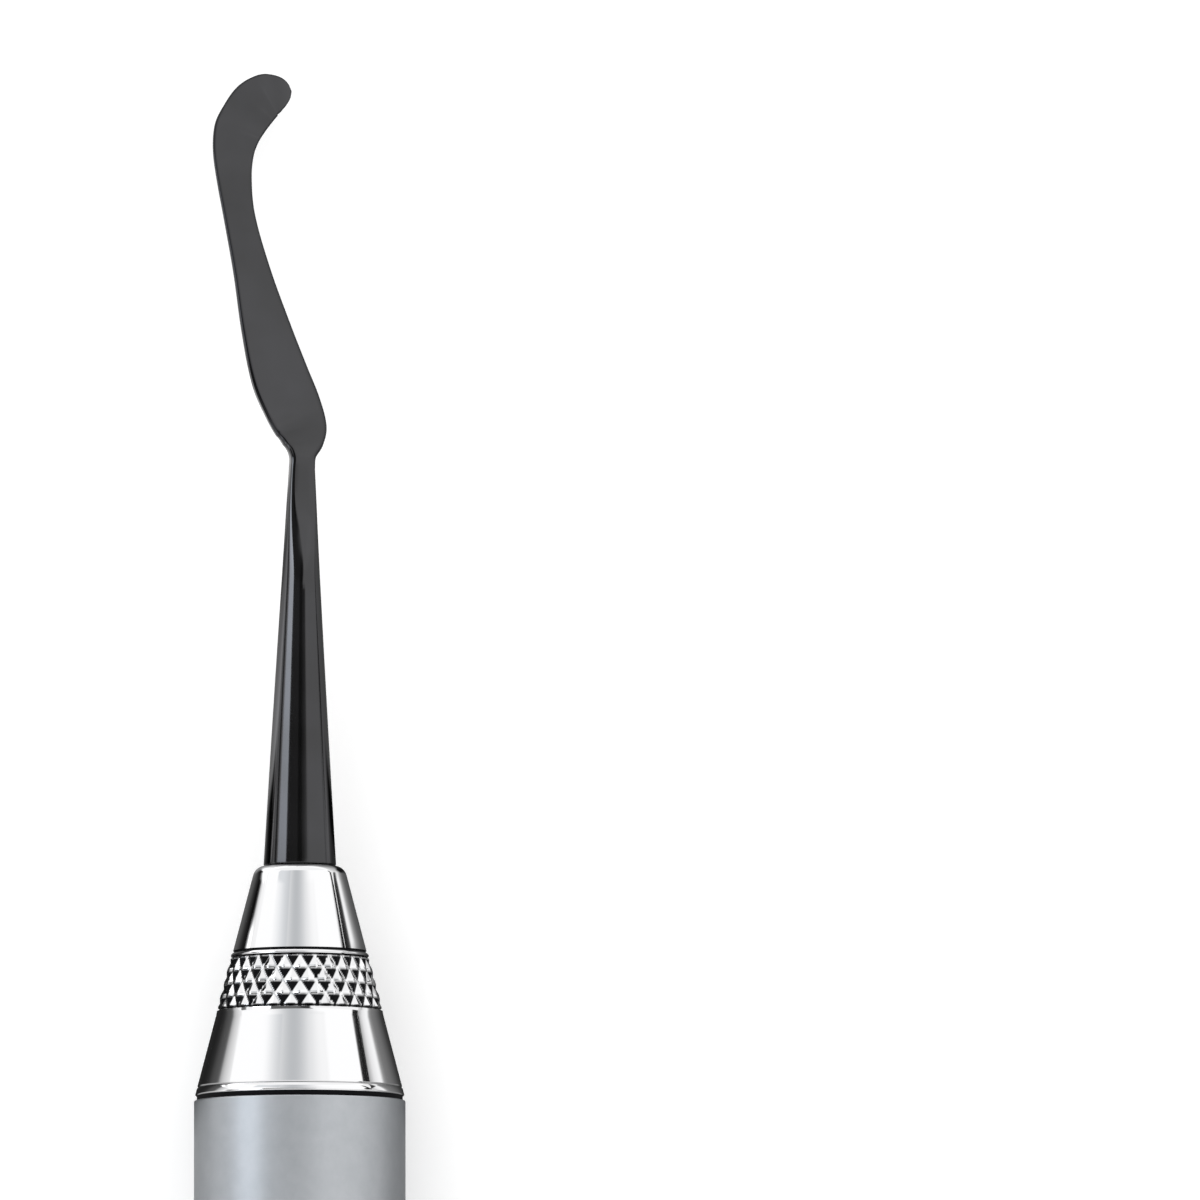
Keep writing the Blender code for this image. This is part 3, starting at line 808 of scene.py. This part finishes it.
def light_tent():
    """Half-round tent over the instrument, whose panels only metal sees, as reflections."""
    near = np.arange(0.0, TENT_FINE_REACH, TENT_FINE_STEP)
    far = np.arange(TENT_FINE_REACH, TENT_HALF_LENGTH + TENT_COARSE_STEP / 2, TENT_COARSE_STEP)
    reach = np.concatenate([near, far])
    place = np.concatenate([-reach[:0:-1], reach])
    leans = np.arange(-TENT_LEAN, TENT_LEAN + 0.5)
    place, lean = np.meshgrid(place, leans, indexing="ij")
    colours = np.ones((*place.shape, 4))
    for _, start, stop, near_lean, far_lean, softness, colour, brightness in TENT_PANELS:
        along = np.clip((np.abs(place) - start) / (stop - start), 0, 1)
        low, high = (a + (b - a) * along for a, b in zip(near_lean, far_lean))
        share = inside(lean, low, high, softness)
        share *= inside(np.abs(place), start, stop, PANEL_EDGE_REACH)
        colours += (np.array(linear(colour)) * brightness - colours) * share[..., None]
    angle = np.radians(lean)
    points = np.stack([
        place, -TENT_RADIUS * np.sin(angle), TENT_RADIUS * np.cos(angle)
    ], axis=-1)
    glowing_sheet("light_tent", points, colours)


def floor_cards():
    """Graded cards on both sides of both ends."""
    distances = CARD_DISTANCES[-1] * np.linspace(CARD_FIRST_LINE, 1, CARD_LINES) ** 2
    for side, rows in ((1, LEFT_CARDS), (-1, RIGHT_CARDS)):
        places = np.arange(rows[0][0], rows[-1][0] + CARD_STEP / 2, CARD_STEP)
        marks = [mark for mark, _ in rows]
        lines = [np.interp(distances, CARD_DISTANCES, glow) for _, glow in rows]
        glow = np.array([
            np.interp(places, marks, [line[k] for line in lines]) for k in range(len(distances))
        ]).T
        colours = np.stack([glow, glow, glow, np.ones_like(glow)], axis=-1)
        start, distance = np.meshgrid(places, distances, indexing="ij")
        x = start + CARD_SLANT * distance * np.clip(start / GRIP_HALF_LENGTH, 0, 1)
        for end in (PADDLE_END, HOOK_END):
            points = np.stack([end * x, side * distance, np.full_like(x, CARD_HEIGHT)], axis=-1)
            glowing_sheet("floor_card", points * MM, colours)


def lamps():
    """White surroundings and one broad soft lamp for the floor's shadow."""
    world = bpy.data.worlds.new("white_studio")
    world.use_nodes = True
    world.node_tree.nodes["Background"].inputs["Color"].default_value = (1, 1, 1, 1)
    world.node_tree.nodes["Background"].inputs["Strength"].default_value = 1.0
    bpy.context.scene.world = world
    lamp = bpy.data.lights.new("soft_key", "SUN")
    lamp.energy = KEY_STRENGTH
    lamp.angle = math.radians(KEY_SOFTNESS)
    key = bpy.data.objects.new("soft_key", lamp)
    key.rotation_euler = (*map(math.radians, KEY_TURN), 0.0)
    key.visible_glossy = False
    bpy.context.scene.collection.objects.link(key)


def camera():
    """Camera over the middle of the instrument, framing the paddle end as the photograph does."""
    pixel = 2 * GRIP_RADIUS / GRIP_PIXELS
    across = FRAME_PIXELS * pixel
    aim = Vector((
        NOSE_DISTANCE + (NOSE_PIXEL[1] - FRAME_PIXELS / 2) * pixel,
        (NOSE_PIXEL[0] - FRAME_PIXELS / 2) * pixel,
        AXIS_HEIGHT,
    ))
    eye = Vector((0.0, 0.0, AXIS_HEIGHT + CAMERA_HEIGHT))
    back = (eye - aim).normalized()
    right = Vector((1.0, 0.0, 0.0)).cross(back).normalized()
    up = back.cross(right)
    lens = bpy.data.cameras.new("camera")
    lens.sensor_width = SENSOR_WIDTH
    lens.lens = SENSOR_WIDTH * (eye - aim).length / across
    lens.clip_end = CAMERA_REACH
    view = bpy.data.objects.new("camera", lens)
    turn = Matrix((right, up, back)).transposed().to_4x4()
    roll = Matrix.Rotation(math.radians(CAMERA_ROLL), 4, "Z")
    view.matrix_world = Matrix.Translation(eye * MM) @ turn @ roll
    bpy.context.scene.collection.objects.link(view)
    bpy.context.scene.camera = view


def dress(piece, node, material):
    """The piece stands for a node, moves with the one body and has its finish."""
    piece.data.materials.append(material)
    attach(piece, "root")
    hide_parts(node)


camera()
lamps()
white_floor()
light_tent()
floor_cards()

satin = bead_blasted_stainless()
mirror = polished_stainless()
black = black_coated_steel()
dress(grip(), "grip_tube", satin)
dress(cone("paddle_cone", PADDLE_END), "paddle_ferrule", mirror)
dress(cone("hook_cone", HOOK_END), "hook_ferrule", mirror)
paddle = working_end(
    "paddle_end", PADDLE_END, PADDLE_NECK_SIDE, PADDLE_NECK_ROLL, PADDLE_STATIONS,
    PADDLE_END_ROUND,
)
dress(paddle, "paddle_tip", black)
hook = working_end(
    "hook_end", HOOK_END, HOOK_NECK_SIDE, HOOK_NECK_ROLL, HOOK_STATIONS, HOOK_END_ROUND,
)
dress(hook, "hook_tip", black)

bpy.context.scene.view_settings.view_transform = "Standard"
